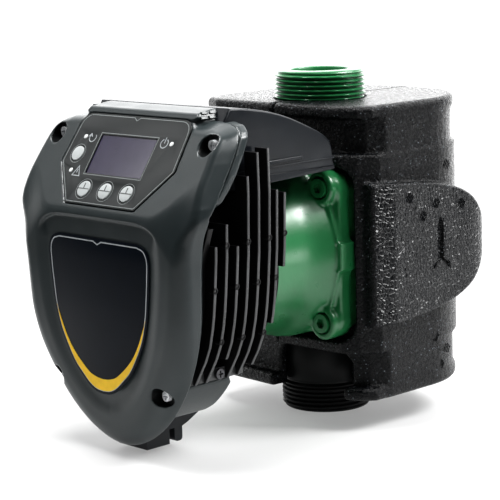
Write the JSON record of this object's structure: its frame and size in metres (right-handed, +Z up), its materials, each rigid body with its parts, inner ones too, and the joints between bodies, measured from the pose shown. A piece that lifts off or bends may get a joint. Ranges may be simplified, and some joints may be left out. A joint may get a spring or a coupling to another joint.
{
  "type": "circulator pump",
  "caption": "Wet-rotor heating circulator with in-line threaded ports, foam insulation shells, finned motor and a sloped control panel with display and keys.",
  "frame": {"origin": "centre of the lower port's end face, on the pipe axis", "axes": "+Z up along the pipe axis; the motor axis lies along Y at Z = 90 mm; the control panel faces -Y; +X is to the panel's right"},
  "size_m": [0.133, 0.2284, 0.18],
  "materials": {
    "green_casting": "satin green coating",
    "green_alloy": "satin green coating",
    "foam": "moulded bead foam",
    "black_alloy": "black coated die casting",
    "cover_plastic": "fine textured charcoal",
    "black_plastic": "fine textured black",
    "overlay": "satin printed film",
    "display": "dark tinted window",
    "key_grey": "light grey",
    "lamp": "white diffuser",
    "label": "dark printed plate",
    "yellow": "yellow print",
    "zinc": "zinc plated",
    "dark_steel": "black oxide",
    "stainless": "stainless",
    "carbon": "carbon graphite",
    "magnet": "encapsulated magnet",
    "impeller_plastic": "moulded",
    "rubber": "soft seal",
    "laminations": "stacked sheet",
    "copper": "enamelled wire",
    "board": "solder mask",
    "component": "moulded component"
  },
  "bodies": {
    "root": {"pump_body": "green_casting", "motor_casing": "green_alloy", "insulation_left": "foam", "insulation_right": "foam", "heat_sink": "black_alloy", "cooling_fins": "black_alloy", "front_cover": "cover_plastic", "rear_housing": "black_plastic", "hood": "black_plastic", "terminal_chin": "cover_plastic", "connector_socket": "black_plastic", "connector_latch": "black_plastic", "panel_overlay": "overlay", "display_window": "display", "display_module": "component", "control_board": "board", "status_lamps": "lamp", "label_plate": "label", "label_arc": "yellow", "cover_screws": "zinc", "heat_sink_screws": "dark_steel", "motor_bolts": "dark_steel", "wear_ring": "stainless", "thrust_ring": "carbon", "front_bearing": "carbon", "rear_bearing": "carbon", "bearing_plate": "stainless", "rotor_can": "stainless", "body_gasket": "rubber", "stator_core": "laminations", "stator_windings": "copper", "cover_gasket": "rubber", "power_board": "board", "capacitors": "component", "inductor": "component", "power_module": "component"},
    "rotor": {"impeller": "impeller_plastic", "rotor_shaft": "stainless", "rotor_magnet": "magnet"},
    "round_button_body": {"round_button": "key_grey"},
    "key_left_body": {"key_left": "key_grey"},
    "key_middle_body": {"key_middle": "key_grey"},
    "key_right_body": {"key_right": "key_grey"}
  },
  "joints": [
    {"name": "rotor_spin", "type": "hinge", "parent": "root", "child": "rotor", "pos_m": [0, -0.05, 0.09], "axis": [0, 1, 0], "continuous": true},
    {"name": "round_button_press", "type": "slide", "parent": "root", "child": "round_button_body", "axis": [0, 0.8231, -0.5679], "range_m": [0, 0.0005], "stiffness_N_per_m": 800, "springref_m": -0.0004},
    {"name": "key_left_press", "type": "slide", "parent": "root", "child": "key_left_body", "axis": [0, 0.8231, -0.5679], "range_m": [0, 0.0005], "stiffness_N_per_m": 800, "springref_m": -0.0004},
    {"name": "key_middle_press", "type": "slide", "parent": "root", "child": "key_middle_body", "axis": [0, 0.8231, -0.5679], "range_m": [0, 0.0005], "stiffness_N_per_m": 800, "springref_m": -0.0004},
    {"name": "key_right_press", "type": "slide", "parent": "root", "child": "key_right_body", "axis": [0, 0.8231, -0.5679], "range_m": [0, 0.0005], "stiffness_N_per_m": 800, "springref_m": -0.0004}
  ]
}
